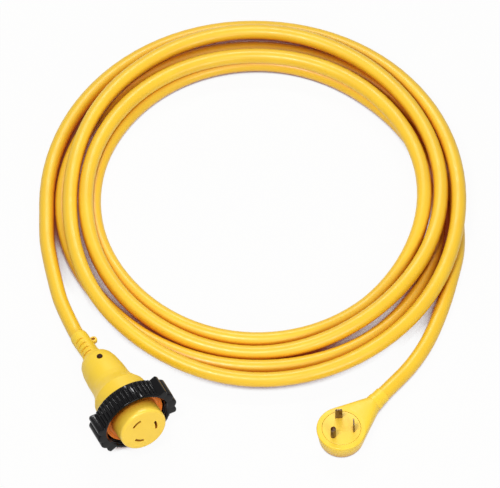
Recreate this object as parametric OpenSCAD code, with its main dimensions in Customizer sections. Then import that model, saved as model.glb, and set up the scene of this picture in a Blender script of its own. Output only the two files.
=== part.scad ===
// Shore power cord: a coiled cable between a locking connector and a right-angle plug.
// The connector leans nose up in its loose locking ring, and the plug lies on its back.

/* [Cable] */
// Outer diameter of the jacket
cable_d = 16.5; // [15:0.1:17.5]
// Outer diameter of one insulated conductor
core_d = 4.6; // [3.6:0.1:5]

/* [Coil] */
// Radius of the innermost lane, to the middle of the cable
coil_inner_r = 173; // [170:0.5:176]
// Free space between two neighbouring turns
turn_gap = 0.7; // [0.6:0.05:1.2]

/* [Connector] */
// Length from the neck's cable end to the socket face
connector_len = 165; // [160:0.5:185]
// Nose-up tilt as it rests in its ring
tilt = 14; // [10:0.5:18]
// Diameter of the ribbed neck
neck_d = 20; // [19.6:0.1:23]
// Length of the neck that shows behind the body
neck_len = 42; // [38:0.5:50]
// Diameter of the body's barrel
barrel_d = 47; // [44:0.5:52]
// Wall of the body shell
body_wall = 4; // [3:0.1:5]
// Step from the ring's thread in to the body's front skirt
skirt_step = 5.95; // [5:0.05:6.5]
// Step from the ring's thread in to the socket nose
nose_step = 9.95; // [9:0.05:11]
// Length of the nose in front of the flange's front face
nose_reach = 27.65; // [24:0.05:30]
// Radius of the circle on which the socket slots lie
slot_circle_r = 15; // [14:0.25:17]
// Width of a socket slot
slot_w = 2.8; // [2.2:0.1:3.2]
// Diameter of the indicator lens
lens_d = 6.5; // [5:0.1:8]
// Diameter of the eye in the neck's lanyard tab
eye_d = 4; // [3.5:0.1:5]

/* [Locking ring] */
// Outer diameter over the grip ribs
ring_d = 85.3; // [84:0.1:88]
// Length of the ring
ring_len = 24; // [22:0.5:26]
// Angle at which the loose ring stands more upright than the connector
ring_lean = 8; // [4:0.5:8]
// Wall between the thread and the foot of the ribs
ring_wall = 3.6; // [3:0.1:4]
// Number of grip ribs
rib_count = 48; // [24:4:60]
// Reach of the two grip lugs beyond the ribs
lug_reach = 6; // [4:0.5:8]
// Running clearance between the ring and the body
ring_gap = 0.35; // [0.3:0.05:0.5]

/* [Plug] */
// Diameter of the plug's round head
head_d = 55; // [52:0.5:60]
// Thickness of the head
head_h = 24; // [22:0.5:28]
// Distance from the head's middle to the end of its cable sleeve
plug_len = 68; // [64:0.5:80]
// Length of the prongs in front of the face
prong_len = 17.5; // [15:0.5:20]
// Width of a flat blade
blade_w = 8; // [6.5:0.1:9]
// Thickness of a flat blade
blade_t = 1.6; // [1.4:0.1:2]
// Diameter of the round ground pin
pin_d = 6; // [5:0.1:6.5]

/* [Hidden] */

eps = 0.01;
fit = 0.05;
jacket = "#F6C21C";
moulding = "#F7C931";
black = "#1B1B1E";
brass = "#C9A24B";

// Connector stations along its own axis, from the cable end of the neck to the socket face
ring_tilt = tilt - ring_lean;
lug_turn = 15;
shoulder = neck_len;
lip_t = 3;
flange_t = 3.5;
seal_t = 2.4;
flange_front = connector_len - nose_reach;
flange_back = flange_front - flange_t;
flange_play = 0.85;
ring_station = flange_front - 0.85;
seal_front = flange_front + seal_t;
barrel_r = barrel_d / 2;
nose_round = 3.5;
insert_back = flange_front - 24;
ring_r = ring_d / 2;
rib_h = 1.6;
ring_core_r = ring_r - rib_h;
thread_h = 1.2;
thread_pitch = 4;
ring_bore_r = ring_core_r - ring_wall;
flange_r = ring_bore_r - thread_h - flange_play;
skirt_r = ring_bore_r - skirt_step;
nose_r = ring_bore_r - nose_step;
skirt_back = flange_back - 27.85;
lens_station = shoulder + 17;
jacket_end = shoulder + 14;
core_circle_r = 1.1 * core_d;

// The ring's rear edge touches the floor at z = 0, and the plan centre of the connector is the origin
ring_z = ring_r * cos(ring_tilt) + ring_len / 2 * sin(ring_tilt);
axis_z = ring_z - ring_station * sin(tilt);
lip_bore_r = skirt_r / cos(ring_lean) + ring_len / 2 * tan(ring_lean) + ring_gap;
nose_edge = (connector_len - nose_round) * cos(tilt) + (nose_r - nose_round) * sin(tilt) + nose_round;
neck_back_r = neck_d / 2 - 0.5;
axis_y = (nose_edge - neck_back_r * sin(tilt)) / 2;

// Coil: angles run clockwise from the side where the connector's lead joins it
coil_centre = [247.2, 147];
coil_start = 153.2;
coil_turns = 4.5;
loop_rings = 24;
loop_stations = 8;
lane_pitch = cable_d + turn_gap;
layer_h = cable_d + turn_gap + 0.15;
// Lane of the cable at each eighth of a turn, one row for a turn; 0 is the innermost lane
lanes = [
  [3.1, 3.1, 3.05, 3.1, 3.15, 3.4, 3.1, 2.5],
  [1.6, 1.9, 2.2, 2.1, 2.0, 1.4, 0.95, 0.85],
  [0.6, 0.5, 0.4, 0.75, 0.95, 0.35, -0.05, -0.15],
  [0.1, 0.2, 0.4, 0.75, 1.8, 2.4, 2.0, 1.9],
  [2.1, 1.75, 1.5, 1.9, 2.95, 4.0]];
// Height of the cable there, in layers above the floor
layers = [
  [0, 0, 0, 0.45, 1, 0.7, 0.3, 1],
  [1, 1, 1, 1, 1, 0.8, 0, 0.5],
  [1, 1, 1, 1, 1, 0, 0, 0],
  [0, 0, 0, 0, 0, 0, 0, 0],
  [0, 0, 0, 0, 0, 0]];

// Route points of the two leads between the coil and the fittings, at floor level
connector_lead_points = [[3.5, 131], [10, 159], [17, 184], [25.5, 209]];
plug_lead_points = [[423, -5], [397, -39], [369, -70], [339, -97], [309, -116]];
plug_centre = [202, -160];
plug_heading = 21.5;
plug_axis_z = 10;

function flat(rows) = [for (row = rows) each row];
lane_list = flat(lanes);
layer_list = flat(layers);

// Catmull-Rom value of a list at position u, held at its first value before the start
function at(list, i) = list[min(max(i, 0), len(list) - 1)];
function spline(list, u) =
  let (i = floor(u), t = u - i, a = at(list, i - 1), b = at(list, i), c = at(list, i + 1), d = at(list, i + 2))
  b + t * ((c - a) / 2 + t * (a - 2.5 * b + 2 * c - d / 2 + t * ((d - a) / 2 + 1.5 * (b - c))));

function coil_point(u) =
  let (r = coil_inner_r + spline(lane_list, u) * lane_pitch, angle = coil_start - u * 360 / loop_stations)
  [coil_centre[0] + r * cos(angle), coil_centre[1] + r * sin(angle),
   cable_d / 2 + max(0, spline(layer_list, u)) * layer_h];

function unit(v) = v / norm(v);
function flat_dir(a, b) = unit([b[0] - a[0], b[1] - a[1], 0]);

coil_end_u = coil_turns * loop_stations;
coil_steps = coil_turns * loop_rings;
start_point = coil_point(0);
end_point = coil_point(coil_end_u);
start_dir = flat_dir(coil_point(0), coil_point(0.05));
end_dir = flat_dir(coil_point(coil_end_u - 0.05), coil_point(coil_end_u));
coil_first = start_point - start_dir * cable_d;
coil_last = end_point + end_dir * cable_d;
coil_path = concat([coil_first],
  [for (k = [0:coil_steps]) coil_point(k * loop_stations / loop_rings)],
  [coil_last]);

// Least free space between parts of the coil that are at least a quarter of a turn apart
gap_samples = 48;
gap_points = [for (k = [0:coil_turns * gap_samples]) coil_point(k * loop_stations / gap_samples)];
gap_list = [for (i = [0:len(gap_points) - 1])
  for (j = [i + gap_samples / 4:1:len(gap_points) - 1]) norm(gap_points[i] - gap_points[j])];
coil_gap = min(gap_list) - cable_d;
echo(str("coil_gap = ", coil_gap));

// Sweep a tube of the given number of sides along a path, with set directions at its two ends
function path_dir(p, i, first, last) =
  i == 0 ? first : i == len(p) - 1 ? last : unit(p[i + 1] - p[i - 1]);
function tube_ring(p, i, first, last, sides, d, up_ref) =
  let (t = path_dir(p, i, first, last), side = unit(cross(t, up_ref)), up = cross(side, t))
  [for (k = [0:sides - 1]) let (a = -90 + k * 360 / sides)
    p[i] + d / 2 * (cos(a) * side + sin(a) * up)];

module tube(p, first, last, sides, d = cable_d, up_ref = [0, 0, 1]) {
  rings = [for (i = [0:len(p) - 1]) each tube_ring(p, i, first, last, sides, d, up_ref)];
  count = len(p);
  walls = [for (i = [0:count - 2]) for (k = [0:sides - 1])
    let (a = i * sides + k, b = i * sides + (k + 1) % sides) each [[a, a + sides, b], [b, a + sides, b + sides]]];
  start_cap = [for (k = [1:sides - 2]) [0, k, k + 1]];
  end_cap = [for (k = [1:sides - 2]) [(count - 1) * sides, (count - 1) * sides + k + 1, (count - 1) * sides + k]];
  polyhedron(points = rings, faces = concat(walls, start_cap, end_cap), convexity = 10);
}

// Place something built along +Z, from the cable end of the neck to the nose, on the connector's axis
module on_axis() {
  translate([0, axis_y, axis_z]) rotate([90 - tilt, 0, 0]) children();
}

// Place something built along +Z from the ring's rear face on the ring's own axis
module on_ring() {
  translate([0, axis_y - ring_station * cos(tilt), ring_z]) rotate([90 - ring_tilt, 0, 0])
    translate([0, 0, -ring_len / 2]) rotate([0, 0, lug_turn]) children();
}

// Place something built with the plug's cable leaving along +X and its prongs along +Z
module on_plug() {
  translate([plug_centre[0], plug_centre[1], 0]) rotate([0, 0, plug_heading]) children();
}

module ring_solid(r, bore, from, to) {
  translate([0, 0, from]) difference() {
    cylinder(r = r, h = to - from, $fn = 96);
    translate([0, 0, -eps]) cylinder(r = bore, h = to - from + 2 * eps, $fn = 96);
  }
}

// The yellow moulding around the wiring, with the flange that keeps the locking ring
module connector_body() {
  color(moulding) on_axis() difference() {
    rotate_extrude($fn = 96) polygon(body_outline());
    translate([0, 0, shoulder - eps]) cylinder(d = neck_d + 2 * fit, h = body_wall + 2 * eps, $fn = 64);
    translate([0, 0, insert_back]) cylinder(r = nose_r + fit, h = connector_len, $fn = 96);
    translate([0, 0, lens_station]) rotate([-90, 0, 0]) cylinder(d = lens_d + 2 * fit, h = barrel_r + 5, $fn = 48);
  }
}

// Station at a share of the way from the shoulder to the skirt
function barrel_at(share) = shoulder + share * (skirt_back - shoulder);
function body_outline() =
  let (r = barrel_r, w = body_wall, foot = neck_d / 2)
  [[0, shoulder], [foot + 4, shoulder], [foot + 7.5, barrel_at(0.03)], [r - 4, barrel_at(0.09)],
   [r - 2, barrel_at(0.22)], [r - 0.5, barrel_at(0.44)], [r, barrel_at(0.66)], [r + 1.5, barrel_at(0.78)],
   [skirt_r - 2, barrel_at(0.94)], [skirt_r, skirt_back], [skirt_r, flange_back], [flange_r, flange_back],
   [flange_r, flange_front], [nose_r - 1, flange_front], [nose_r - 1, insert_back], [r - w, insert_back],
   [r - w - 2, barrel_at(0.44)], [r - w - 4, barrel_at(0.16)], [foot + 2, shoulder + body_wall],
   [0, shoulder + body_wall]];

// Soft sleeve around the cable behind the body, with four grooves and a lanyard tab
tab_r = eye_d / 2 + 2.2;
tab_x = neck_d / 2 + eye_d / 2 - 0.35;
tab_station = 14;
module neck_sleeve() {
  groove_pitch = 7.3;
  first_groove = 13;
  groove_angle = 125;
  flare_start = 28;
  flare_r = neck_d / 2 + 2.4;
  color(moulding) on_axis() difference() {
    union() {
      cylinder(r1 = neck_back_r, r2 = neck_d / 2, h = 4, $fn = 64);
      translate([0, 0, 4]) cylinder(d = neck_d, h = shoulder + body_wall - 4, $fn = 64);
      translate([0, 0, flare_start]) cylinder(r1 = neck_d / 2, r2 = flare_r, h = shoulder - flare_start, $fn = 64);
      translate([tab_x, 0, tab_station]) rotate([90, 0, 0]) cylinder(r = tab_r, h = 5, center = true, $fn = 48);
    }
    translate([0, 0, -eps]) cylinder(d = cable_d, h = shoulder + body_wall + 2 * eps, $fn = 64);
    translate([tab_x, 0, tab_station]) rotate([90, 0, 0]) cylinder(d = eye_d, h = 12, center = true, $fn = 48);
    for (i = [0:3]) rotate([0, 0, groove_angle]) translate([neck_d / 2 + 1, 0, first_groove + i * groove_pitch])
      cube([4, neck_d * 0.55, 1.8], center = true);
  }
}

// Jacketed end of the cable inside the neck, stripped where the conductors splay
module connector_jacket() {
  color(jacket) on_axis() difference() {
    cylinder(d = cable_d, h = jacket_end, $fn = 64);
    for (a = core_angles) rotate([0, 0, a]) translate([core_circle_r, 0, jacket_end - 8])
      cylinder(d = core_d + 2 * fit, h = 8 + eps, $fn = 32);
  }
}

core_angles = [0, 120, 240];
slot_angles = [0, 120, 240];
slot_span = 44;

// Arc-shaped pocket or sleeve centred on +X
module arc(r, w, span, h) {
  rotate([0, 0, -span / 2]) rotate_extrude(angle = span, $fn = 96) translate([r - w / 2, 0]) square([w, h]);
}

// Nose of the connector, with three curved slots and a contact pocket behind each
module socket_insert() {
  face_skin = 5;
  color(moulding) on_axis() difference() {
    translate([0, 0, insert_back]) rotate_extrude($fn = 96) polygon(nose_outline());
    for (a = slot_angles) rotate([0, 0, a]) {
      translate([0, 0, connector_len - face_skin - eps]) arc(slot_circle_r, slot_w, slot_span, face_skin + 2 * eps);
      translate([0, 0, insert_back + 6]) arc(slot_circle_r, pocket_w, slot_span + 12, connector_len - face_skin - insert_back - 6);
      translate([slot_circle_r, 0, insert_back - eps]) cylinder(d = core_d + 2, h = 6.6, $fn = 32);
    }
  }
}

pocket_w = slot_w + 3.2;

function nose_outline() =
  let (h = connector_len - insert_back, f = nose_round, r = nose_r)
  concat([[0, 0], [r, 0]], [for (a = [0:15:90]) [r - f + f * cos(a), h - f + f * sin(a)]], [[0, h]]);

// Weather seal that the locking ring presses against the inlet
module face_seal() {
  color("#D98A1E") on_axis() ring_solid(flange_r - 0.6, nose_r + fit, flange_front, seal_front);
}

// Outline of the locking ring: grip ribs above and below, a scalloped lug on either side
lug_half_span = 32;
lug_bump_pitch = 18;
grip_step = 360 / rib_count / 6;
function lug_reach_at(a) = lug_reach / 2 * (1 + abs(cos((a - lug_bump_pitch / 2) * 180 / lug_bump_pitch)));
function grip_r(a) =
  abs(sin(a)) < sin(lug_half_span) ? ring_r + lug_reach_at(a) :
  round(a / grip_step) % 6 < 3 ? ring_r : ring_core_r;

// Threaded ring that screws onto the inlet, with grip ribs and two lugs
module locking_ring() {
  outline = [for (a = [0:grip_step:360 - grip_step]) grip_r(a) * [cos(a), sin(a)]];
  color(black) on_ring() difference() {
    linear_extrude(ring_len) polygon(outline);
    translate([0, 0, -eps]) cylinder(r = lip_bore_r, h = ring_len, $fn = 128);
    translate([0, 0, lip_t]) cylinder(r = ring_bore_r - thread_h, h = ring_len, $fn = 128);
    for (z = [lip_t + 7:thread_pitch:ring_len - 2]) translate([0, 0, z])
      cylinder(r = ring_bore_r, h = thread_pitch / 2, $fn = 128);
  }
}

// Clear lens over the power-on lamp, on top of the barrel
module indicator_lens() {
  seat_r = barrel_r - body_wall - 1;
  color("#7A2A12") on_axis() translate([0, seat_r, lens_station]) rotate([-90, 0, 0]) {
    cylinder(d = lens_d, h = 4.2, $fn = 48);
    translate([0, 0, 4.2]) intersection() {
      translate([0, 0, -lens_d / 2]) sphere(r = lens_d * 0.62, $fn = 48);
      cylinder(d = lens_d - 0.6, h = 2, $fn = 48);
    }
  }
}

// Neon lamp under the lens
module indicator_lamp() {
  seat_r = barrel_r - body_wall - 1;
  lamp_h = 6;
  color("#E8E2D0") on_axis() translate([0, seat_r - lamp_h, lens_station]) rotate([-90, 0, 0])
    cylinder(d = lens_d - 2, h = lamp_h, $fn = 32);
}

// Curved brass sleeve behind a slot, with the crimp barrel that holds its conductor
module contact(a) {
  wall = 0.8;
  gap = slot_w - 1;
  len_c = 18;
  web = 2;
  color(brass) on_axis() rotate([0, 0, a]) {
    translate([0, 0, insert_back + 6.2]) {
      arc(slot_circle_r, gap + 2 * wall, slot_span, web);
      translate([0, 0, web]) difference() {
        arc(slot_circle_r, gap + 2 * wall, slot_span, len_c);
        translate([0, 0, eps]) arc(slot_circle_r, gap, slot_span + 4, len_c);
      }
    }
    translate([slot_circle_r, 0, insert_back - 6]) difference() {
      cylinder(d = core_d + 1.6, h = 12.3, $fn = 32);
      translate([0, 0, -eps]) cylinder(d = core_d + 2 * fit, h = 10, $fn = 32);
    }
  }
}

module line_contact() contact(slot_angles[0]);
module neutral_contact() contact(slot_angles[1]);
module ground_contact() contact(slot_angles[2]);

// Conductor that splays from the jacket to its contact
core_smoothing = 2;
core_stops = [[core_circle_r, 0, jacket_end - 7.5], [core_circle_r, 0, jacket_end], [core_circle_r, 0, jacket_end + 4],
  [slot_circle_r, 0, insert_back - 10], [slot_circle_r, 0, insert_back - 6], [slot_circle_r, 0, insert_back + 3]];
module core_run(a, hue) {
  path = [for (k = [0:(len(core_stops) - 1) * core_smoothing]) spline(core_stops, k / core_smoothing)];
  color(hue) on_axis() rotate([0, 0, a]) tube(path, [0, 0, 1], [0, 0, 1], 12, core_d, [0, 1, 0]);
}

module line_core() core_run(core_angles[0], "#1E1E1E");
module neutral_core() core_run(core_angles[1], "#E9E7DE");
module ground_core() core_run(core_angles[2], "#2E7D3A");

// The coiled length of the cable
module cable_coil() {
  color(jacket) tube(coil_path, start_dir, end_dir, 6);
}

neck_end = [0, axis_y, axis_z];
neck_dir = [0, cos(tilt), -sin(tilt)];
connector_route = concat([neck_end, neck_end + neck_dir * cable_d / 2],
  [for (q = connector_lead_points) [q[0], q[1], cable_d / 2]],
  [coil_first]);

// The cable between the connector's neck and the coil
module connector_lead() {
  color(jacket) tube(connector_route, neck_dir, start_dir, 10);
}

plug_out = [cos(plug_heading), sin(plug_heading), 0];
sleeve_end = [plug_centre[0], plug_centre[1], plug_axis_z] + plug_out * plug_len;
plug_route = concat([coil_last], [for (q = plug_lead_points) [q[0], q[1], cable_d / 2]],
  [sleeve_end + plug_out * 0.7 * cable_d, sleeve_end]);

// The cable between the coil and the plug
module plug_lead() {
  color(jacket) tube(plug_route, end_dir, -plug_out, 10);
}

head_r = head_d / 2;
insert_r = head_r - 6;
insert_t = 6;
sleeve_r = cable_d / 2 + 1.6;
sleeve_start = plug_len - 16;
jacket_depth = 38;

// The yellow head and its tapering flanks, moulded around the insert and the cable
module plug_body() {
  round_r = 5;
  foot_r = head_r - 2.5;
  color(moulding) on_plug() difference() {
    hull() {
      translate([0, 0, round_r]) rotate_extrude($fn = 64) translate([foot_r - round_r, 0]) circle(r = round_r, $fn = 24);
      translate([0, 0, head_h - 1.5]) rotate_extrude($fn = 64) translate([head_r - 1.5, 0]) circle(r = 1.5, $fn = 16);
      translate([sleeve_start - 3, 0, plug_axis_z]) rotate([0, 90, 0]) cylinder(r = sleeve_r - 0.3, h = 3, $fn = 32);
    }
    translate([0, 0, head_h - insert_t]) cylinder(r = insert_r + fit, h = insert_t + 1, $fn = 64);
    translate([0, 0, plug_cavity_z]) cylinder(r = insert_r - 2, h = head_h, $fn = 64);
    translate([0, 0, plug_axis_z]) rotate([0, 90, 0]) cylinder(d = cable_d, h = plug_len, $fn = 64);
  }
}

plug_cavity_z = 4;

// Hard disc that carries the prongs
module plug_insert() {
  color("#F2C33A") on_plug() difference() {
    translate([0, 0, head_h - insert_t]) cylinder(r = insert_r, h = insert_t, $fn = 64);
    for (p = [line_place, neutral_place]) translate([p[0], p[1], head_h]) rotate([0, 0, p[2]])
      cube([blade_w + 2 * fit, blade_t + 2 * fit, 3 * insert_t], center = true);
    translate([ground_place, 0, 0]) cylinder(d = shank_d + 2 * fit, h = 2 * head_h, $fn = 48);
  }
}

line_place = [8, 11, -45];
neutral_place = [8, -11, 45];
ground_place = -13.5;
shank_d = pin_d - 0.8;
pin_foot = head_h + 0.2;
prong_root = plug_axis_z - core_d / 2;

module blade(place) {
  color("#B9B4A6") on_plug() translate([place[0], place[1], 0]) rotate([0, 0, place[2]]) {
    translate([-blade_w / 2, -blade_t / 2, prong_root]) cube([blade_w, blade_t, head_h + prong_len - prong_root - 2]);
    translate([-blade_w / 2 + 1, -blade_t / 2 + 0.2, prong_root]) cube([blade_w - 2, blade_t - 0.4, head_h + prong_len - prong_root]);
  }
}

module line_blade() blade(line_place);
module neutral_blade() blade(neutral_place);

module ground_pin() {
  dome_z = head_h + prong_len - pin_d / 2;
  color("#B9B4A6") on_plug() translate([ground_place, 0, 0]) {
    translate([0, 0, prong_root]) cylinder(d = shank_d, h = pin_foot - prong_root + 1, $fn = 48);
    translate([0, 0, pin_foot]) cylinder(d = pin_d, h = dome_z - pin_foot, $fn = 48);
    translate([0, 0, dome_z]) sphere(d = pin_d, $fn = 48);
  }
}

// Stepped sleeve where the cable enters the plug
module plug_sleeve() {
  color(moulding) on_plug() translate([sleeve_start, 0, plug_axis_z]) rotate([0, 90, 0]) difference() {
    union() {
      cylinder(r = sleeve_r, h = 6, $fn = 64);
      translate([0, 0, 6]) cylinder(r1 = sleeve_r - 0.4, r2 = cable_d / 2 + 0.8, h = plug_len - sleeve_start - 6, $fn = 64);
    }
    translate([0, 0, -eps]) cylinder(d = cable_d, h = plug_len, $fn = 64);
  }
}

// Jacketed end of the cable inside the plug
module plug_jacket() {
  color(jacket) on_plug() translate([plug_len - jacket_depth, 0, plug_axis_z]) rotate([0, 90, 0])
    cylinder(d = cable_d, h = jacket_depth, $fn = 64);
}

// Conductor from the jacket to a blade's root
core_y = 5.4;
core_start = plug_len - jacket_depth - 0.1;
module blade_core(side, place, hue) {
  reach = [place[0] + blade_w / 2 + 0.6, place[1]];
  stops = [[core_start, side * core_y, plug_axis_z], [insert_r, side * core_y, plug_axis_z],
    [insert_r - 4.5, side * core_y, plug_axis_z], [reach[0], reach[1], plug_axis_z]];
  path = [for (k = [0:(len(stops) - 1) * core_smoothing]) spline(stops, k / core_smoothing)];
  color(hue) on_plug() tube(path, [-1, 0, 0], unit(stops[3] - stops[2]), 12, core_d);
}

module plug_line_core() blade_core(1, line_place, "#1E1E1E");
module plug_neutral_core() blade_core(-1, neutral_place, "#E9E7DE");

// Straight conductor to the ground pin's root
module plug_ground_core() {
  end_x = ground_place + shank_d / 2 + 0.2;
  color("#2E7D3A") on_plug() translate([end_x, 0, plug_axis_z]) rotate([0, 90, 0])
    cylinder(d = core_d, h = core_start - end_x, $fn = 32);
}

connector_body();
neck_sleeve();
connector_jacket();
socket_insert();
face_seal();
locking_ring();
indicator_lens();
indicator_lamp();
line_contact();
neutral_contact();
ground_contact();
line_core();
neutral_core();
ground_core();
cable_coil();
connector_lead();
plug_lead();
plug_body();
plug_insert();
plug_sleeve();
plug_jacket();
line_blade();
neutral_blade();
ground_pin();
plug_line_core();
plug_neutral_core();
plug_ground_core();
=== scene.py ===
import math

import bmesh
import bpy
from mathutils import Matrix, Vector


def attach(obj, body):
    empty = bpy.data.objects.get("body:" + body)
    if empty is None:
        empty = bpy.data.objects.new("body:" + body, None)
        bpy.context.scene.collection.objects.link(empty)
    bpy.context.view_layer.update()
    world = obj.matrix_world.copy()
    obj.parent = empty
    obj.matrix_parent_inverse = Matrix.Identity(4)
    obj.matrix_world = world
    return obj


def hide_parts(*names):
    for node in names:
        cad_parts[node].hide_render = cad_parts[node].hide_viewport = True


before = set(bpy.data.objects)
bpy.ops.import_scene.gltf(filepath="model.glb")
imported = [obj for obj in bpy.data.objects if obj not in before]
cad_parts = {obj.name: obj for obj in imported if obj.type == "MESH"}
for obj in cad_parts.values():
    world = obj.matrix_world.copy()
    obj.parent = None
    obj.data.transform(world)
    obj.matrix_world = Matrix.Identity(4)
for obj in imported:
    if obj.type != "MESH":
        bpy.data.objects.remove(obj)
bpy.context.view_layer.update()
scene = bpy.context.scene
print("frame loaded:", len(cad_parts), "nodes")


def srgb(hexText):
    channels = [int(hexText[i:i + 2], 16) / 255 for i in (1, 3, 5)]
    linear = [c / 12.92 if c <= 0.04045 else ((c + 0.055) / 1.055) ** 2.4 for c in channels]
    return (*linear, 1.0)


def addNode(tree, kind, inputs=None, **settings):
    node = tree.nodes.new(kind)
    for key, value in settings.items():
        setattr(node, key, value)
    # an input is either linked to another node's output or set to a value
    for key, value in (inputs or {}).items():
        if isinstance(value, bpy.types.NodeSocket):
            tree.links.new(value, node.inputs[key])
        else:
            node.inputs[key].default_value = value
    return node


def newMaterial(name):
    material = bpy.data.materials.new(name)
    material.use_nodes = True
    tree = material.node_tree
    tree.nodes.clear()
    shader = addNode(tree, "ShaderNodeBsdfPrincipled")
    output = addNode(tree, "ShaderNodeOutputMaterial")
    tree.links.new(shader.outputs["BSDF"], output.inputs["Surface"])
    return material, tree, shader


mergeMm = 0.0005  # points nearer than this are one point


def mm(value):
    return value / 1000


def grainScale(sizeMm):
    # a Noise Texture's Scale for grains of this size, on Object coordinates in metres
    return 1000 / sizeMm


def meshObject(name, mesh, material=None):
    obj = bpy.data.objects.new(name, mesh)
    scene.collection.objects.link(obj)
    if material:
        mesh.materials.append(material)
    return obj


def loopMesh(name, rings, closed=False):
    # rings are equal lists of points in mm, each a closed loop; open ends are capped
    bm = bmesh.new()
    rows = [[bm.verts.new(p) for p in ring] for ring in rings]
    count = len(rows[0])
    pairs = list(zip(rows, rows[1:])) + ([(rows[-1], rows[0])] if closed else [])
    for first, second in pairs:
        for k in range(count):
            bm.faces.new((first[k], first[(k + 1) % count], second[(k + 1) % count], second[k]))
    if not closed:
        bm.faces.new(rows[0])
        bm.faces.new(rows[-1])
    bmesh.ops.remove_doubles(bm, verts=bm.verts, dist=mergeMm)
    bmesh.ops.recalc_face_normals(bm, faces=bm.faces)
    mesh = bpy.data.meshes.new(name)
    bm.to_mesh(mesh)
    bm.free()
    return mesh


def turned(name, profile, segments=144):
    # profile is a closed outline of (radius, station) in mm, turned about the Z axis
    rings = []
    for k in range(segments):
        a = 2 * math.pi * k / segments
        rings.append([Vector((r * math.cos(a), r * math.sin(a), z)) for r, z in profile])
    return loopMesh(name, rings, closed=True)


def turnedSolid(name, profile, segments=144):
    # profile runs from the axis to the axis, and both poles are closed
    bm = bmesh.new()
    loops = []
    for r, z in profile:
        if r < 1e-6:
            loops.append([bm.verts.new((0, 0, z))])
        else:
            angles = [2 * math.pi * k / segments for k in range(segments)]
            loops.append([bm.verts.new((r * math.cos(a), r * math.sin(a), z)) for a in angles])
    for a, b in zip(loops, loops[1:]):
        for k in range(segments):
            n = (k + 1) % segments
            if len(a) == 1:
                bm.faces.new((a[0], b[k], b[n]))
            elif len(b) == 1:
                bm.faces.new((a[k], a[n], b[0]))
            else:
                bm.faces.new((a[k], a[n], b[n], b[k]))
    bmesh.ops.recalc_face_normals(bm, faces=bm.faces)
    mesh = bpy.data.meshes.new(name)
    bm.to_mesh(mesh)
    bm.free()
    return mesh


def filleted(points, closed=True, steps=5):
    # points are (x, y, radius); each corner is rounded by its own radius
    result = []
    count = len(points)
    for i, (x, y, radius) in enumerate(points):
        here = Vector((x, y))
        if radius <= 0 or (not closed and i in (0, count - 1)):
            result.append((x, y))
            continue
        before = Vector(points[i - 1][:2]) - here
        after = Vector(points[(i + 1) % count][:2]) - here
        half = before.angle(after) / 2
        nearlyStraight = half > math.pi / 2 - 0.01
        if nearlyStraight:
            result.append((x, y))
            continue
        # never past the middle of a side
        cut = min(radius / math.tan(half), 0.49 * before.length, 0.49 * after.length)
        start, end = here + before.normalized() * cut, here + after.normalized() * cut
        for k in range(steps + 1):
            t = k / steps
            p = start * (1 - t) ** 2 + here * 2 * t * (1 - t) + end * t ** 2
            result.append((p.x, p.y))
    return result


def plainRod(name, radius, low, high, segments):
    return turnedSolid(name, [(0, low), (radius, low), (radius, high), (0, high)], segments)


def moved(x, y, z):
    # millimetres in, metres out
    return Matrix.Translation((mm(x), mm(y), mm(z)))


def turnBy(degrees, axis):
    return Matrix.Rotation(math.radians(degrees), 4, axis)


def placed(mesh, place):
    # from mm in a fitting's own axes to metres in the shared frame
    mesh.transform(place @ Matrix.Scale(0.001, 4))
    return mesh


def smoothShaded(obj, sharpDegrees=32):
    mesh = obj.data
    mesh.polygons.foreach_set("use_smooth", [True] * len(mesh.polygons))
    mesh.set_sharp_from_angle(angle=math.radians(sharpDegrees))
    return obj


def baked(obj, sharpDegrees=32):
    # the modifiers' result becomes the plain mesh
    graph = bpy.context.evaluated_depsgraph_get()
    mesh = bpy.data.meshes.new_from_object(obj.evaluated_get(graph))
    obj.modifiers.clear()
    old = obj.data
    obj.data = mesh
    bpy.data.meshes.remove(old)
    return smoothShaded(obj, sharpDegrees)


def cutWith(obj, cutterMeshes, operation="DIFFERENCE"):
    # one Boolean after another, then the cutters go
    cutters = []
    for mesh in cutterMeshes:
        cutter = meshObject("cutter", mesh)
        modifier = obj.modifiers.new("cut", "BOOLEAN")
        modifier.operation = operation
        modifier.solver = "EXACT"
        modifier.object = cutter
        cutters.append(cutter)
    bpy.context.view_layer.update()
    baked(obj)
    for cutter in cutters:
        bpy.data.objects.remove(cutter)
    return obj


cameraSettings = {
    "lookAt": (0.2245, 0.1077, 0.0),
    "towards": (-0.451, -0.893),  # from the object to the camera, on the floor
    "elevation": 59.5,  # degrees above the floor
    "width": 0.55,
    "distance": 3.0,
}


def makeCamera(s):
    data = bpy.data.cameras.new("camera")
    data.type = "ORTHO"
    data.ortho_scale = s["width"]
    camera = bpy.data.objects.new("camera", data)
    scene.collection.objects.link(camera)
    up = math.radians(s["elevation"])
    side = Vector(s["towards"]).normalized() * math.cos(up)
    away = Vector((side.x, side.y, math.sin(up)))
    camera.location = Vector(s["lookAt"]) + away * s["distance"]
    camera.rotation_euler = away.to_track_quat("Z", "Y").to_euler()
    scene.camera = camera


makeCamera(cameraSettings)
print("camera placed")


pvcLook = {
    "mottleMm": 38,
    "rubMm": 9,
    "rougher": 0.08,
    "smoother": 0.06,
    "waveDepth": 0.25,
    "creviceShadeReach": 24.0,
    "creviceShadeFull": 0.12,  # share of open sky where the painted crevice shade is full
    "creviceShadeGone": 0.75,  # and where none of it is left
    "ior": 1.52,
}
metalLook = {"patchMm": 6, "patchRange": (0.42, 0.68), "rougher": 0.15, "smoother": 0.08}
noiseRange = (0.3, 0.7)  # most of a noise's values lie in it


def noise(tree, place, sizeMm, detail):
    pattern = addNode(tree, "ShaderNodeTexNoise", {"Vector": place, "Scale": grainScale(sizeMm), "Detail": detail})
    return pattern.outputs["Fac"]


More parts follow.
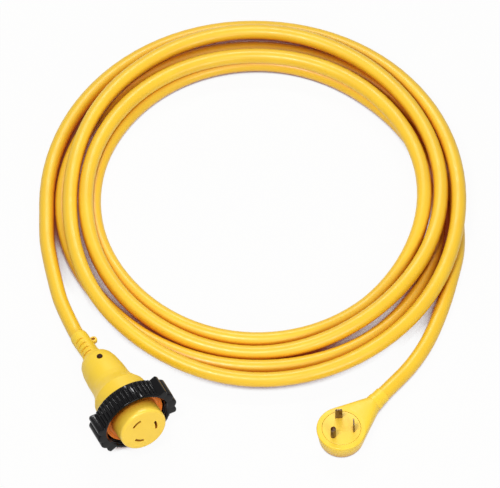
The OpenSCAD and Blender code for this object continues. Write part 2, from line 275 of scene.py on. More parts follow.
def stretched(tree, value, fromMin, fromMax, toMin=0.0, toMax=1.0):
    spread = addNode(tree, "ShaderNodeMapRange", {"Value": value, "From Min": fromMin, "From Max": fromMax,
                                                  "To Min": toMin, "To Max": toMax})
    return spread.outputs["Result"]


def mixedColour(tree, share, first, second):
    return addNode(tree, "ShaderNodeMix", {0: share, 6: first, 7: second}, data_type="RGBA").outputs[2]


def openSky(tree, reachMm, samples):
    # 1 in the open, towards 0 deep in a gap
    return addNode(tree, "ShaderNodeAmbientOcclusion", {"Distance": mm(reachMm)}, samples=samples).outputs["AO"]


def yellowPvc(name, hexText, shadeHex, creviceShadeHex, roughness, grainMm, depthMm, waveMm=0):
    # flexible PVC: mottled pigment, painted orange-brown shade in crevices and between strands, a fine grain from
    # the tool or die
    s = pvcLook
    material, tree, shader = newMaterial(name)
    place = addNode(tree, "ShaderNodeTexCoord").outputs["Object"]
    mottled = mixedColour(tree, noise(tree, place, s["mottleMm"], 3.0), srgb(hexText), srgb(shadeHex))
    # painted shade: the colour turns orange-brown where little open sky reaches
    unshadedShare = stretched(tree, openSky(tree, s["creviceShadeReach"], samples=6), s["creviceShadeFull"], s["creviceShadeGone"])
    tree.links.new(mixedColour(tree, unshadedShare, srgb(creviceShadeHex), mottled), shader.inputs["Base Color"])
    gloss = stretched(tree, noise(tree, place, s["rubMm"], 4.0), *noiseRange,
                      roughness - s["smoother"], roughness + s["rougher"])
    tree.links.new(gloss, shader.inputs["Roughness"])
    bump = addNode(tree, "ShaderNodeBump", {"Strength": 0.35, "Distance": mm(depthMm),
                                            "Height": noise(tree, place, grainMm, 2.0)})
    if waveMm:
        # long, shallow waves from the extruder
        bump = addNode(tree, "ShaderNodeBump", {"Strength": 0.5, "Distance": mm(s["waveDepth"]),
                                                "Height": noise(tree, place, waveMm, 1.0),
                                                "Normal": bump.outputs["Normal"]})
    tree.links.new(bump.outputs["Normal"], shader.inputs["Normal"])
    shader.inputs["IOR"].default_value = s["ior"]
    return material


def plainPlastic(name, hexText, roughness, grainMm=1.5, depthMm=0.03, ior=1.5, rubMm=7):
    material, tree, shader = newMaterial(name)
    place = addNode(tree, "ShaderNodeTexCoord").outputs["Object"]
    gloss = stretched(tree, noise(tree, place, rubMm, 3.0), *noiseRange, roughness * 0.8, roughness * 1.3)
    bump = addNode(tree, "ShaderNodeBump", {"Strength": 0.3, "Distance": mm(depthMm),
                                            "Height": noise(tree, place, grainMm, 2.0)})
    tree.links.new(gloss, shader.inputs["Roughness"])
    tree.links.new(bump.outputs["Normal"], shader.inputs["Normal"])
    shader.inputs["Base Color"].default_value = srgb(hexText)
    shader.inputs["IOR"].default_value = ior
    return material


def platedMetal(name, hexText, tarnishHex, roughness):
    # plated brass with brown tarnish that gathers in patches
    s = metalLook
    material, tree, shader = newMaterial(name)
    place = addNode(tree, "ShaderNodeTexCoord").outputs["Object"]
    patch = noise(tree, place, s["patchMm"], 5.0)
    tone = mixedColour(tree, stretched(tree, patch, *s["patchRange"]), srgb(hexText), srgb(tarnishHex))
    tree.links.new(tone, shader.inputs["Base Color"])
    gloss = stretched(tree, patch, 0.0, 1.0, roughness - s["smoother"], roughness + s["rougher"])
    tree.links.new(gloss, shader.inputs["Roughness"])
    shader.inputs["Metallic"].default_value = 1.0
    return material


# extruded cable jacket, overmoulded shell and plug, and the stiffer inserts that hold the contacts
# the third colour of each is painted shade for crevices and the gaps between strands
cableJacket = yellowPvc("cableJacket", "#F4CA2C", "#ECB823", "#CC6A16", 0.36, 0.9, 0.05, waveMm=30)
mouldedPvc = yellowPvc("mouldedPvc", "#F8D436", "#F2C62C", "#B45A10", 0.42, 0.7, 0.06)
hardYellow = yellowPvc("hardYellow", "#FAD548", "#F4C83A", "#B45A10", 0.34, 0.6, 0.03)
# glossy black nylon, with a low IOR so that it stays dark in white surroundings
ringNylon = plainPlastic("ringNylon", "#020103", 0.09, ior=1.25)
sealRubber = plainPlastic("sealRubber", "#E27A1A", 0.5, 1.0, 0.05)  # weather seal, ochre; its brighter orange is painted shade, standing for yellow surfaces in the ring's shadow
lensRed = plainPlastic("lensRed", "#2C0D05", 0.4, ior=1.2)  # dark red polycarbonate
lampGlass = plainPlastic("lampGlass", "#E4D9C4", 0.1)  # neon lamp's glass
contactBrass = platedMetal("contactBrass", "#D2A04A", "#8A5E2A", 0.28)  # drawn brass
prongMetal = platedMetal("prongMetal", "#7C6A58", "#43220F", 0.3)  # plated brass, tarnished
coreBlack = plainPlastic("coreBlack", "#161616", 0.4)  # PVC insulation
coreWhite = plainPlastic("coreWhite", "#E6E3DA", 0.4)
coreGreen = plainPlastic("coreGreen", "#1F6E34", 0.4)
print("materials made")


connector = {
    "tilt": 14.0,  # nose up, in degrees
    "axisY": 81.855,  # where the cable enters the neck
    "axisZ": 10.648,
    "ringStation": 136.5,
    "ringHeight": 43.671,
    "ringTilt": 6.0,
    "lugTurn": 15.0,
}
plug = {"centre": (202.0, -160.0), "heading": 21.5, "axisZ": 10.0, "length": 68.0}
# the cable is one length from the connector's neck, round the coil, to the plug
cable = {
    "diameter": 16.5,
    "coilCentre": (247.2, 147.0),
    "startAngle": 153.2,
    "innerRadius": 173.0,
    "lanePitch": 17.2,
    "layerHeight": 17.35,
    "stations": 8,  # in a turn; each has its lane outwards and its layer upwards below
    "samples": 12,  # points from one station to the next
    "lanes": [3.1, 3.1, 3.05, 3.1, 3.15, 3.4, 3.1, 2.5,
              1.6, 1.9, 2.2, 2.1, 2.0, 1.4, 0.95, 0.85,
              0.6, 0.5, 0.4, 0.75, 0.95, 0.35, -0.05, -0.15,
              0.1, 0.2, 0.4, 0.75, 1.8, 2.4, 2.0, 1.9,
              2.1, 1.75, 1.5, 1.9, 2.95, 4.0],
    "layers": [0, 0, 0, 0.45, 1, 0.7, 0.3, 1,
               1, 1, 1, 1, 1, 0.8, 0, 0.5,
               1, 1, 1, 1, 1, 0, 0, 0,
               0, 0, 0, 0, 0, 0, 0, 0,
               0, 0, 0, 0, 0, 0],
    "turns": 4.5,
    "connectorLead": [(3.5, 131), (10, 159), (17, 184), (25.5, 209)],
    "plugLead": [(423, -5), (397, -39), (369, -70), (339, -97), (309, -116)],
    "hiddenEnd": 6.0,  # runs on inside each fitting
    "straightOut": 0.7,  # diameters straight out of the plug
    "boreGap": 0.02,
}

# each fitting's own axes: the connector's and the ring's Z runs out through the nose, the plug's Z runs up
axisPlace = moved(0, connector["axisY"], connector["axisZ"]) @ turnBy(90 - connector["tilt"], "X")
ringY = connector["axisY"] - connector["ringStation"] * math.cos(math.radians(connector["tilt"]))
ringPlace = (moved(0, ringY, connector["ringHeight"]) @ turnBy(90 - connector["ringTilt"], "X")
             @ turnBy(connector["lugTurn"], "Z"))
plugPlace = moved(*plug["centre"], 0) @ turnBy(plug["heading"], "Z")


def splineValue(values, u):
    # a smooth curve through the values, which stand at whole numbers of u
    i = math.floor(u)
    t = u - i
    a, b, c, d = (values[min(max(i + k, 0), len(values) - 1)] for k in (-1, 0, 1, 2))
    return b + t * ((c - a) / 2 + t * (a - 2.5 * b + 2 * c - d / 2 + t * ((d - a) / 2 + 1.5 * (b - c))))


def coilPoint(s, u):
    # u counts stations from the start of the coil
    r = s["innerRadius"] + splineValue(s["lanes"], u) * s["lanePitch"]
    a = math.radians(s["startAngle"] - u * 360 / s["stations"])
    return Vector((s["coilCentre"][0] + r * math.cos(a), s["coilCentre"][1] + r * math.sin(a),
                   s["diameter"] / 2 + max(0, splineValue(s["layers"], u)) * s["layerHeight"]))


def smoothRoute(points, spacing=4.0):
    # a curve through the points that keeps its direction where their spacing changes
    slopes = []
    for i, p in enumerate(points):
        before = points[max(i - 1, 0)]
        after = points[min(i + 1, len(points) - 1)]
        slopes.append((after - before) / max((after - p).length + (p - before).length, 1e-6))
    route = []
    for i in range(len(points) - 1):
        span = (points[i + 1] - points[i]).length
        steps = max(2, round(span / spacing))
        for k in range(steps):
            t = k / steps
            left, leftSlope = 2 * t ** 3 - 3 * t ** 2 + 1, t ** 3 - 2 * t ** 2 + t
            right, rightSlope = 3 * t ** 2 - 2 * t ** 3, t ** 3 - t ** 2
            route.append(points[i] * left + slopes[i] * span * leftSlope
                         + points[i + 1] * right + slopes[i + 1] * span * rightSlope)
    return route + [points[-1]]


def cableRoute(s):
    radius = s["diameter"] / 2
    neckEnd = axisPlace.translation * 1000
    neckOut = (axisPlace.to_3x3() @ Vector((0, 0, -1))).normalized()
    plugOut = (plugPlace.to_3x3() @ Vector((1, 0, 0))).normalized()
    sleeveEnd = plugPlace @ Vector((mm(plug["length"]), 0, mm(plug["axisZ"]))) * 1000
    last = s["turns"] * s["stations"]
    coil = [coilPoint(s, k / s["samples"]) for k in range(int(last * s["samples"]) + 1)]
    first = [neckEnd - neckOut * s["hiddenEnd"], neckEnd, neckEnd + neckOut * radius]
    first += [Vector((x, y, radius)) for x, y in s["connectorLead"]]
    final = [Vector((x, y, radius)) for x, y in s["plugLead"]]
    final += [sleeveEnd + plugOut * s["straightOut"] * s["diameter"], sleeveEnd,
              sleeveEnd - plugOut * s["hiddenEnd"]]
    route = smoothRoute(first + coil[:1])[:-1] + coil
    return route + smoothRoute(coil[-1:] + final)[1:], neckEnd


def makeCable(s):
    route, exitPoint = cableRoute(s)
    data = bpy.data.curves.new("cableCurve", "CURVE")
    data.dimensions = "3D"
    data.bevel_depth = mm(s["diameter"] / 2)
    data.bevel_resolution = 7
    data.use_fill_caps = True
    spline = data.splines.new("POLY")
    spline.points.add(len(route) - 1)
    for point, p in zip(spline.points, route):
        point.co = (*(p / 1000), 1)
    spline.use_smooth = True
    obj = bpy.data.objects.new("yellowCable", data)
    scene.collection.objects.link(obj)
    data.materials.append(cableJacket)
    length = sum((b - a).length for a, b in zip(route, route[1:])) / 1000
    print("cable made:", len(route), "points,", round(length, 3), "m")
    return obj, length, exitPoint / 1000


yellowCable, cableLength, cableExit = makeCable(cable)


# the shell's outline is (radius, station, corner radius), out along the outside and back along the bore
shell = {
    "outline": [(14, 42, 0.8), (17.5, 43.9, 2), (19.5, 47.8, 3), (21.5, 56, 9), (23, 70, 16), (23.5, 84, 16),
                (25, 92, 12), (29.5, 102, 8), (31.5, 106, 3), (31.5, 133.85, 0.3), (35.4, 133.85, 0.5),
                (35.4, 137.35, 0.5), (27.6, 137.35, 0.2), (27.6, 113.35, 0), (20, 113.35, 0), (18, 70, 0),
                (16, 52, 0), (10.05, 46, 0), (10.05, 42, 0.4)],
    "lensHole": 3.3,
    "lensHoleHeights": (12, 30),  # above the axis
    "lensStation": 59.0,
}
lensPlace = moved(0, 0, shell["lensStation"]) @ turnBy(-90, "X")


def makeShell(s):
    mesh = turned("connectorShell", filleted(s["outline"]))
    obj = meshObject("connectorShell", placed(mesh, axisPlace), mouldedPvc)
    hole = plainRod("hole", s["lensHole"], *s["lensHoleHeights"], 48)
    return cutWith(obj, [placed(hole, axisPlace @ lensPlace)])


connectorShell = makeShell(shell)
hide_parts("connector_body")
print("connector shell made")


neck = {
    "length": 46.0,
    "backRadius": 9.5,
    "radius": 10.0,
    "bore": 8.27,
    "rowStep": 0.4,
    "rowCount": 120,  # points round each row
    "backEdge": 0.8,
    "backDrop": 0.5,
    "swell": 4.0,
    "flareStart": 28.0,
    "flareEnd": 42.0,
    "flareRadius": 12.4,
    "flarePower": 1.3,
    "grooves": [13.0, 20.3, 27.6, 34.9],
    "grooveAngle": 125.0,
    "grooveWidth": 2.2,
    "grooveDepth": 1.5,
    "grooveSlope": 0.6,
    "grooveSpan": 42.0,
    "grooveFade": 12.0,  # degrees over which each end runs out
    "tabX": 11.65,
    "tabStation": 14.0,
    "tabRadius": 4.2,
    "tabEdge": 1.3,
    "tabThick": 5.0,
    "eyeRadius": 2.0,
}


def neckRadius(s, z):
    radius = s["backRadius"] + (s["radius"] - s["backRadius"]) * min(1, z / s["swell"])
    if z < s["backEdge"]:
        radius -= s["backDrop"] * (1 - z / s["backEdge"]) ** 2
    if s["flareStart"] < z <= s["flareEnd"]:
        share = (z - s["flareStart"]) / (s["flareEnd"] - s["flareStart"])
        radius += (s["flareRadius"] - s["radius"]) * share ** s["flarePower"]
    return radius


def grooveShare(s, z, degrees):
    # 1 on a groove's floor, 0 off it, with sloping walls and faded ends
    off = abs((degrees - s["grooveAngle"] + 180) % 360 - 180)
    across = max(0.0, min(1.0, (s["grooveSpan"] - off) / s["grooveFade"]))
    reach = s["grooveWidth"] / 2 + s["grooveSlope"] / 2
    along = max([max(0.0, min(1.0, (reach - abs(z - g)) / s["grooveSlope"])) for g in s["grooves"]])
    return across * along


def makeNeck(s):
    rowTotal = int((s["length"] - s["backEdge"]) / s["rowStep"])
    stations = [0, s["rowStep"]] + [s["backEdge"] + s["rowStep"] * k for k in range(rowTotal)] + [s["length"]]
    rows = []
    for z in stations:
        row = []
        for k in range(s["rowCount"]):
            a = 2 * math.pi * k / s["rowCount"]
            r = neckRadius(s, z) - s["grooveDepth"] * grooveShare(s, z, math.degrees(a))
            row.append(Vector((r * math.cos(a), r * math.sin(a), z)))
        rows.append(row)
    obj = meshObject("neckSleeve", placed(loopMesh("neckSleeve", rows), axisPlace), mouldedPvc)
    tabPlace = axisPlace @ moved(s["tabX"], 0, s["tabStation"]) @ turnBy(90, "X")
    half = s["tabThick"] / 2
    profile = filleted([(0, -half, 0), (s["tabRadius"], -half, s["tabEdge"]), (s["tabRadius"], half, s["tabEdge"]),
                        (0, half, 0)], closed=False)
    disc = turnedSolid("disc", profile, 64)
    # both cutters reach well past the neck
    eye = plainRod("eye", s["eyeRadius"], -10, 10, 48)
    bore = plainRod("bore", s["bore"], -5, 60, 96)
    cutWith(obj, [placed(disc, tabPlace)], "UNION")
    cutWith(obj, [placed(bore, axisPlace), placed(eye, tabPlace)])
    return obj


neckSleeve = makeNeck(neck)
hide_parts("neck_sleeve")
print("neck made")


nose = {
    "back": 113.35,
    "front": 165.0,
    "radius": 27.5,
    "edge": 3.5,
    "slotCircle": 15.0,
    "slotWidth": 2.8,
    "slotSpan": 44.0,
    "slotAngles": [0, 120, 240],
    "skin": 5.0,  # thickness of the face over the contacts' pockets
    "pocketWidth": 6.0,
    "pocketExtra": 12.0,
    "pocketBack": 6.0,
    "overlap": 0.5,
}


def arcBar(radius, width, span, middle, low, high, steps=24):
    # curved bar of even width with its ends square, about the Z axis
    rings = []
    for k in range(steps + 1):
        a = math.radians(middle - span / 2 + span * k / steps)
        c, d = math.cos(a), math.sin(a)
        inner, outer = radius - width / 2, radius + width / 2
        rings.append([Vector((inner * c, inner * d, low)), Vector((outer * c, outer * d, low)),
                      Vector((outer * c, outer * d, high)), Vector((inner * c, inner * d, high))])
    return loopMesh("arcBar", rings)


def makeNose(s):
    profile = filleted([(0, s["back"], 0), (s["radius"], s["back"], 0), (s["radius"], s["front"], s["edge"]),
                        (0, s["front"], 0)], closed=False, steps=8)
    obj = meshObject("socketNose", placed(turnedSolid("socketNose", profile), axisPlace), hardYellow)
    # each slot goes through the face's skin and opens into a wider pocket for its contact
    cutters = []
    skinBack = s["front"] - s["skin"]
    for angle in s["slotAngles"]:
        slot = arcBar(s["slotCircle"], s["slotWidth"], s["slotSpan"], angle,
                      skinBack - s["overlap"], s["front"] + 1)
        pocket = arcBar(s["slotCircle"], s["pocketWidth"], s["slotSpan"] + s["pocketExtra"], angle,
                        s["back"] + s["pocketBack"], skinBack)
        cutters += [placed(slot, axisPlace), placed(pocket, axisPlace)]
    return cutWith(obj, cutters)


socketNose = makeNose(nose)
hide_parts("socket_insert")
print("nose made")


ring = {
    "length": 24.0,
    "coreRadius": 41.05,
    "bore": 36.25,
    "threadDepth": 1.2,
    "threadPitch": 4.0,
    "threadSteps": 36,
    "threadRunOut": 1.2,  # below the mouth
    "threadStart": 0.4,  # above the lip
    "mouthChamfer": 0.9,
    "lip": 3.0,
    "lipBore": 33.85,
    "lipChamfer": 0.3,
    "edge": 1.3,
    "lugHalfSpan": 32.0,
    "lugFade": 3.0,
    "lugRadius": 45.45,
    "lugBump": 3.2,
    "bumpPitch": 18.0,
    "bumpPower": 0.8,
    "columns": 480,
}
# in metres, as the named inputs of the Geometry Nodes tree; no rib stands where the lugs are
ribs = {
    "Rib Count": 48,
    "Ring Radius": 0.04075,
    "Rib Radius": 0.0019,
    "Rib Length": 0.021,
    "Lug Half Height": 0.0225,
}


def lugOuter(s, degrees):
    # the ring's outside at this angle: round between the two lugs, scalloped on them
    off = abs((degrees + 90) % 180 - 90)
    edge = max(0.0, min(1.0, (s["lugHalfSpan"] - off) / s["lugFade"]))
    edge = edge * edge * (3 - 2 * edge)
    turn = math.radians((degrees - s["bumpPitch"] / 2) * 180 / s["bumpPitch"])
    bump = abs(math.cos(turn)) ** s["bumpPower"]
    return s["coreRadius"] + edge * (s["lugRadius"] + s["lugBump"] * bump - s["coreRadius"])


def threadRadius(s, z, angle):
    # one start, with flat bottoms
    wave = 0.5 - 0.5 * math.cos(2 * math.pi * (z - s["lip"]) / s["threadPitch"] + angle)
    return s["bore"] + s["threadDepth"] * min(1, wave * 1.2)


def ringOutline(s, degrees):
    # section of the ring at this angle, from the lip round the outside to the thread
    out, e, high = lugOuter(s, degrees), s["edge"], s["length"]
    quarter = [t * math.pi / 12 for t in range(7)]
    outline = [(s["lipBore"], s["lipChamfer"]), (s["lipBore"] + s["lipChamfer"], 0)]
    outline += [(out - e + e * math.sin(a), e - e * math.cos(a)) for a in quarter]
    outline += [(out - e + e * math.cos(a), high - e + e * math.sin(a)) for a in quarter]
    root = s["bore"] + s["threadDepth"]
    outline += [(root + s["mouthChamfer"], high), (root, high - s["mouthChamfer"])]
    mouth = high - s["threadRunOut"]
    for j in range(1, s["threadSteps"]):
        z = mouth - (mouth - s["lip"] - s["threadStart"]) * j / s["threadSteps"]
        outline.append((threadRadius(s, z, math.radians(degrees)), z))
    return outline + [(s["bore"], s["lip"]), (s["lipBore"], s["lip"])]


def makeRingCore(s):
    columns = []
    for k in range(s["columns"]):
        degrees = k * 360 / s["columns"]
        a = math.radians(degrees)
        columns.append([Vector((r * math.cos(a), r * math.sin(a), z)) for r, z in ringOutline(s, degrees)])
    mesh = loopMesh("lockingRing", columns, closed=True)
    obj = meshObject("lockingRing", placed(mesh, ringPlace @ moved(0, 0, -s["length"] / 2)), ringNylon)
    return smoothShaded(obj, 40)


def ribTree(material):
    tree = bpy.data.node_groups.new("ringRibs", "GeometryNodeTree")
    kinds = {"Rib Count": "NodeSocketInt"}
    for name in ribs:
        tree.interface.new_socket(name, in_out="INPUT", socket_type=kinds.get(name, "NodeSocketFloat"))
    tree.interface.new_socket("Geometry", in_out="OUTPUT", socket_type="NodeSocketGeometry")
    given = addNode(tree, "NodeGroupInput").outputs
    circle = addNode(tree, "GeometryNodeMeshCircle", {"Vertices": given["Rib Count"],
                                                      "Radius": given["Ring Radius"]})
    rod = addNode(tree, "GeometryNodeMeshCylinder", {"Vertices": 20, "Radius": given["Rib Radius"],
                                                     "Depth": given["Rib Length"]})
    position = addNode(tree, "GeometryNodeInputPosition")
    apart = addNode(tree, "ShaderNodeSeparateXYZ", {0: position.outputs[0]})
    height = addNode(tree, "ShaderNodeMath", {0: apart.outputs["Y"]}, operation="ABSOLUTE")
    outside = addNode(tree, "FunctionNodeCompare", {0: height.outputs[0], 1: given["Lug Half Height"]},
                      data_type="FLOAT", operation="GREATER_THAN")
    rods = addNode(tree, "GeometryNodeInstanceOnPoints", {"Points": circle.outputs["Mesh"],
                                                          "Selection": outside.outputs["Result"],
                                                          "Instance": rod.outputs["Mesh"]})
    real = addNode(tree, "GeometryNodeRealizeInstances", {0: rods.outputs[0]})
    dressed = addNode(tree, "GeometryNodeSetMaterial", {"Geometry": real.outputs[0], "Material": material})
    output = addNode(tree, "NodeGroupOutput")
    tree.links.new(dressed.outputs[0], output.inputs["Geometry"])
    return tree


def makeRibs(values):
    obj = meshObject("ringRibs", bpy.data.meshes.new("ringRibs"))
    modifier = obj.modifiers.new("ribs", "NODES")
    modifier.node_group = ribTree(ringNylon)
    for item in modifier.node_group.interface.items_tree:
        if item.in_out == "INPUT":
            modifier[item.identifier] = values[item.name]
    edges = obj.modifiers.new("edges", "BEVEL")
    edges.width = mm(0.5)
    edges.segments = 2
    edges.angle_limit = math.radians(50)
    baked(obj, 40)
    obj.data.polygons.foreach_set("material_index", [0] * len(obj.data.polygons))
    obj.data.materials.clear()
    obj.data.materials.append(ringNylon)
    obj.data.transform(ringPlace)
    return obj


lockingRing = makeRingCore(ring)
ringRibs = makeRibs(ribs)
for piece in (lockingRing, ringRibs):
    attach(piece, "ring")
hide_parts("locking_ring")
print("locking ring made:", len(ringRibs.data.polygons), "rib faces")


seal = {
    "outer": 34.8,
    "inner": 27.6,
    "back": 137.4,
    "front": 139.75,
    "channel": (33.0, 32.2, 31.4, 30.6),  # radii of the channel in its face, outside to inside
    "channelDepth": 0.8,
}
lens = {"radius": 3.25, "seat": 16.5, "top": 22.9, "edge": 0.3, "dome": 1.1}


def makeSeal(s):
    outerRim, outerFoot, innerFoot, innerRim = s["channel"]
    front, floor = s["front"], s["front"] - s["channelDepth"]
    outline = filleted([(s["inner"], s["back"], 0), (s["outer"], s["back"], 0), (s["outer"], front, 0.8),
                        (outerRim, front, 0.4), (outerFoot, floor, 0.4), (innerFoot, floor, 0.4),
                        (innerRim, front, 0.4), (s["inner"], front, 0.5)])
    return smoothShaded(meshObject("weatherSeal", placed(turned("weatherSeal", outline), axisPlace), sealRubber))


def roundedEnd(radius, low, rise):
    # quarter of an ellipse from the side up to near the pole
    return [(radius * math.cos(t * math.pi / 16), low + rise * math.sin(t * math.pi / 16)) for t in range(1, 8)]


def makeLens(s):
    shoulder = s["top"] - s["edge"]
    profile = [(0, s["seat"]), (s["radius"], s["seat"]), (s["radius"], shoulder)]
    profile += roundedEnd(s["radius"], shoulder, s["dome"]) + [(0, shoulder + s["dome"])]
    mesh = turnedSolid("signalLens", profile, 48)
    return smoothShaded(meshObject("signalLens", placed(mesh, axisPlace @ lensPlace), lensRed))


weatherSeal = makeSeal(seal)
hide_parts("face_seal")
signalLens = makeLens(lens)
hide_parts("indicator_lens")
print("seal and lens made")


head = {
    "radius": 27.5,
    "height": 24.0,
    "footRadius": 25.0,
    "footRound": 5.0,
    "topRound": 1.6,
    "insertRadius": 21.5,
    "insertThick": 6.0,
    "insertGap": 0.15,
    "insertProud": 0.15,
    "cavityRadius": 19.5,
    "cavityFloor": 4.0,
    "cavityTop": 20.0,
    "sleeveStart": 52.0,
    "sleeveRadius": 9.85,
    "sleeveInset": 0.2,
    "noseLength": 4.0,
    "collarLength": 6.0,
    "collarStep": 0.7,
    "sleeveTip": 0.9,
}
prongs = {
    "blades": [(8.0, 11.0, -45.0), (8.0, -11.0, 45.0)],  # x, y and turn in degrees
    "bladeWidth": 8.0,
    "bladeThick": 1.6,
    "top": 41.5,
    "root": 7.5,
    "ground": -13.5,
    "groundRadius": 3.0,
    "shankRadius": 2.6,
    "pinFoot": 24.2,
    "corner": 2.2,
    "bevel": 0.35,
    "gap": 0.05,
}
sleevePlace = moved(0, 0, plug["axisZ"]) @ turnBy(90, "Y")


def makePlugBody(s):
    # the hull of a round head and the short nose where the cable enters
    bm = bmesh.new()
    foot, top = s["footRound"], s["topRound"]
    hoops = []
    for t in range(7):
        a = t * math.pi / 12
        hoops.append((s["footRadius"] - foot + foot * math.sin(a), foot - foot * math.cos(a)))
        hoops.append((s["radius"] - top + top * math.cos(a), s["height"] - top + top * math.sin(a)))
    for radius, z in hoops:
        for k in range(128):
            a = 2 * math.pi * k / 128
            bm.verts.new((radius * math.cos(a), radius * math.sin(a), z))
    r = s["sleeveRadius"] - s["sleeveInset"]
    for x in (s["sleeveStart"] - s["noseLength"], s["sleeveStart"]):
        for k in range(64):
            a = 2 * math.pi * k / 64
            bm.verts.new((x, r * math.cos(a), plug["axisZ"] + r * math.sin(a)))
    hull = bmesh.ops.convex_hull(bm, input=bm.verts)
    loose = {v for v in hull["geom_interior"] + hull["geom_unused"] if isinstance(v, bmesh.types.BMVert)}
    bmesh.ops.delete(bm, geom=list(loose), context="VERTS")
    bmesh.ops.recalc_face_normals(bm, faces=bm.faces)
    mesh = bpy.data.meshes.new("plugBody")
    bm.to_mesh(mesh)
    bm.free()
    obj = meshObject("plugBody", placed(mesh, plugPlace), mouldedPvc)
    seat = plainRod("seat", s["insertRadius"] + s["insertGap"],
                    s["height"] - s["insertThick"], s["height"] + 2, 128)
    cavity = plainRod("cavity", s["cavityRadius"], s["cavityFloor"], s["cavityTop"], 96)
    bore = plainRod("bore", cable["diameter"] / 2 + cable["boreGap"], 0, 70, 96)
    return cutWith(obj, [placed(seat, plugPlace), placed(cavity, plugPlace), placed(bore, plugPlace @ sleevePlace)])


def makePlugInsert(s):
    low, high, r = s["height"] - s["insertThick"], s["height"] + s["insertProud"], s["insertRadius"]
    profile = filleted([(0, low, 0), (r, low, 0.3), (r, high, 0.8), (0, high, 0)], closed=False)
    obj = meshObject("prongDisc", placed(turnedSolid("prongDisc", profile, 128), plugPlace), hardYellow)
    cutters = []
    for x, y, turn in prongs["blades"]:
        w, t = prongs["bladeWidth"] / 2 + prongs["gap"], prongs["bladeThick"] / 2 + prongs["gap"]
        box = bmesh.new()
        bmesh.ops.create_cube(box, size=1)
        mesh = bpy.data.meshes.new("slit")
        box.to_mesh(mesh)
        box.free()
        # tall enough to go right through
        mesh.transform(Matrix.Translation((x, y, s["height"])) @ turnBy(turn, "Z")
                       @ Matrix.Diagonal((2 * w, 2 * t, 40, 1)))
        cutters.append(placed(mesh, plugPlace))
    hole = plainRod("hole", prongs["shankRadius"] + prongs["gap"], 0, 60, 48)
    hole.transform(Matrix.Translation((prongs["ground"], 0, 0)))
    cutters.append(placed(hole, plugPlace))
    return cutWith(obj, cutters)


def makeBlade(name, spot):
    x, y, turn = spot
    w, t = prongs["bladeWidth"] / 2, prongs["bladeThick"] / 2
    outline = filleted([(-w, prongs["root"], 0), (w, prongs["root"], 0), (w, prongs["top"], prongs["corner"]),
                        (-w, prongs["top"], prongs["corner"])])
    bm = bmesh.new()
    face = bm.faces.new([bm.verts.new((px, -t, pz)) for px, pz in outline])
    grown = bmesh.ops.extrude_face_region(bm, geom=[face])
    farSide = [v for v in grown["geom"] if isinstance(v, bmesh.types.BMVert)]
    bmesh.ops.translate(bm, verts=farSide, vec=(0, 2 * t, 0))
    bmesh.ops.recalc_face_normals(bm, faces=bm.faces)
    mesh = bpy.data.meshes.new(name)
    bm.to_mesh(mesh)
    bm.free()
    mesh.transform(Matrix.Translation((x, y, 0)) @ turnBy(turn, "Z"))
    obj = meshObject(name, placed(mesh, plugPlace), prongMetal)
    edges = obj.modifiers.new("edges", "BEVEL")
    edges.width = mm(prongs["bevel"])
    edges.segments = 3
    edges.angle_limit = math.radians(50)
    return baked(obj, 40)


def makeGroundPin(s):
    r, shoulder = s["groundRadius"], s["top"] - s["groundRadius"]
    profile = [(0, s["root"]), (s["shankRadius"], s["root"]), (s["shankRadius"], s["pinFoot"]), (r, s["pinFoot"]),
               (r, shoulder)]
    profile += roundedEnd(r, shoulder, r) + [(0, s["top"])]
    mesh = turnedSolid("groundPin", profile, 48)
    mesh.transform(Matrix.Translation((s["ground"], 0, 0)))
    return smoothShaded(meshObject("groundPin", placed(mesh, plugPlace), prongMetal), 40)


def makePlugSleeve(s):
    bore, r = cable["diameter"] / 2 + cable["boreGap"], s["sleeveRadius"]
    collar, end = s["collarLength"], plug["length"] - s["sleeveStart"]
    outline = filleted([(bore, 0, 0), (r, 0, 0.3), (r, collar, 0.7), (r - s["collarStep"], collar, 0.3),
                        (bore + s["sleeveTip"], end, 0.5), (bore, end, 0.2)])
    along = moved(s["sleeveStart"], 0, plug["axisZ"]) @ turnBy(90, "Y")
    mesh = placed(turned("plugSleeve", outline, 96), plugPlace @ along)
    return smoothShaded(meshObject("plugSleeve", mesh, mouldedPvc))


plugBody = makePlugBody(head)
prongDisc = makePlugInsert(head)
plugSleeve = makePlugSleeve(head)
lineBlade = makeBlade("lineBlade", prongs["blades"][0])
neutralBlade = makeBlade("neutralBlade", prongs["blades"][1])
groundPin = makeGroundPin(prongs)
for piece, node in ((plugBody, "plug_body"), (prongDisc, "plug_insert"), (plugSleeve, "plug_sleeve"),
                    (lineBlade, "line_blade"), (neutralBlade, "neutral_blade"), (groundPin, "ground_pin")):
    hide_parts(node)
print("plug made")


# hidden pieces keep the frame's own shape and only get a material
keptShapes = {
    "connector_jacket": cableJacket,
    "plug_jacket": cableJacket,
    "indicator_lamp": lampGlass,
    "line_contact": contactBrass,
    "neutral_contact": contactBrass,
    "ground_contact": contactBrass,
    "line_core": coreBlack,
    "neutral_core": coreWhite,
    "ground_core": coreGreen,
    "plug_line_core": coreBlack,
    "plug_neutral_core": coreWhite,
    "plug_ground_core": coreGreen,
}
for name, material in keptShapes.items():
    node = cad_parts[name]
    node.data.materials.clear()
    node.data.materials.append(material)

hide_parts("cable_coil", "connector_lead", "plug_lead")
for piece in (connectorShell, neckSleeve, socketNose, weatherSeal, signalLens, plugBody, prongDisc, plugSleeve,
              lineBlade, neutralBlade, groundPin, yellowCable):
    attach(piece, "root")
plugPieces = [plugBody, prongDisc, plugSleeve, lineBlade, neutralBlade, groundPin]
plugPieces += [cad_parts[name] for name in keptShapes if name.startswith("plug_")]


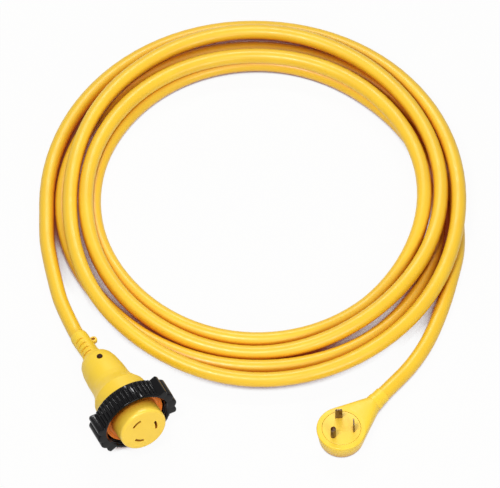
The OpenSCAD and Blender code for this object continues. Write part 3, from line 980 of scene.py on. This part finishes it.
lighting = {
    "middle": (0.22, 0.1, 0),
    "floorSize": 4,
    "floorDrop": 0.0002,
    "floorColour": "#D2CFCA",
    "backgroundShare": 0.95,  # the rest of the floor's brightness shows shadows
    # painted shade for the background seen between strands of cable
    "gapShadeColour": "#6A240A",
    "gapReach": 26.0,
    "gapFull": 0.28,  # share of open sky where the painted gap shade is full
    "gapGone": 0.4,
    "worldStrength": 0.26,
}
lamps = {
    "keyLamp": {"place": (-0.45, -0.45, 1.8), "size": 0.55, "power": 21.0},
    "fillLamp": {"place": (0.25, -1.5, 0.85), "size": 0.7, "power": 10.0},
    "stripLamp": {"place": (0.62, 1.1, 1.34), "size": 1.1, "power": 12.0, "aim": (0, -0.05, 0.08), "height": 0.09},
}


def seenDirectly(tree):
    # 1 where a camera, mirror or glass ray meets the surface
    path = addNode(tree, "ShaderNodeLightPath").outputs
    first = addNode(tree, "ShaderNodeMath", {0: path["Is Camera Ray"], 1: path["Is Glossy Ray"]},
                    operation="MAXIMUM")
    return addNode(tree, "ShaderNodeMath", {0: first.outputs[0], 1: path["Is Transmission Ray"]},
                   operation="MAXIMUM").outputs[0]


def makeFloor(s):
    bm = bmesh.new()
    bmesh.ops.create_grid(bm, x_segments=1, y_segments=1, size=s["floorSize"])
    mesh = bpy.data.meshes.new("floor")
    bm.to_mesh(mesh)
    bm.free()
    material = bpy.data.materials.new("paleFloor")
    material.use_nodes = True
    tree = material.node_tree
    tree.nodes.clear()
    # painted shade: in narrow gaps between strands of cable the background colour turns dark red-brown
    clear = stretched(tree, openSky(tree, s["gapReach"], samples=16), s["gapFull"], s["gapGone"])
    tone = mixedColour(tree, clear, srgb(s["gapShadeColour"]), (1, 1, 1, 1))
    white = addNode(tree, "ShaderNodeEmission", {"Color": tone, "Strength": 1.0})
    matt = addNode(tree, "ShaderNodeBsdfDiffuse", {"Color": srgb(s["floorColour"])})
    share = addNode(tree, "ShaderNodeMath", {0: seenDirectly(tree), 1: s["backgroundShare"]}, operation="MULTIPLY")
    mixed = addNode(tree, "ShaderNodeMixShader", {0: share.outputs[0], 1: matt.outputs[0], 2: white.outputs[0]})
    addNode(tree, "ShaderNodeOutputMaterial", {"Surface": mixed.outputs[0]})
    floor = meshObject("floor", mesh, material)
    floor.data.transform(Matrix.Translation((*s["middle"][:2], -s["floorDrop"])))


def makeLamp(name, place, size, power, aim=lighting["middle"], height=0):
    data = bpy.data.lights.new(name, "AREA")
    data.shape = "RECTANGLE" if height else "DISK"
    data.size = size
    if height:
        data.size_y = height
    data.energy = power
    lamp = bpy.data.objects.new(name, data)
    scene.collection.objects.link(lamp)
    lamp.location = place
    lamp.rotation_euler = (Vector(place) - Vector(aim)).to_track_quat("Z", "Y").to_euler()


def makeWorld(s):
    world = bpy.data.worlds.new("studio")
    scene.world = world
    world.use_nodes = True
    tree = world.node_tree
    tree.nodes.clear()
    soft = addNode(tree, "ShaderNodeBackground", {"Color": (1, 1, 1, 1), "Strength": s["worldStrength"]})
    white = addNode(tree, "ShaderNodeBackground", {"Color": (1, 1, 1, 1), "Strength": 1.0})
    mixed = addNode(tree, "ShaderNodeMixShader", {0: seenDirectly(tree), 1: soft.outputs[0],
                                                  2: white.outputs[0]})
    addNode(tree, "ShaderNodeOutputWorld", {"Surface": mixed.outputs[0]})


scene.view_settings.view_transform = "Standard"
makeFloor(lighting)
for name, values in lamps.items():
    makeLamp(name, **values)
makeWorld(lighting)
print("floor and lights made")
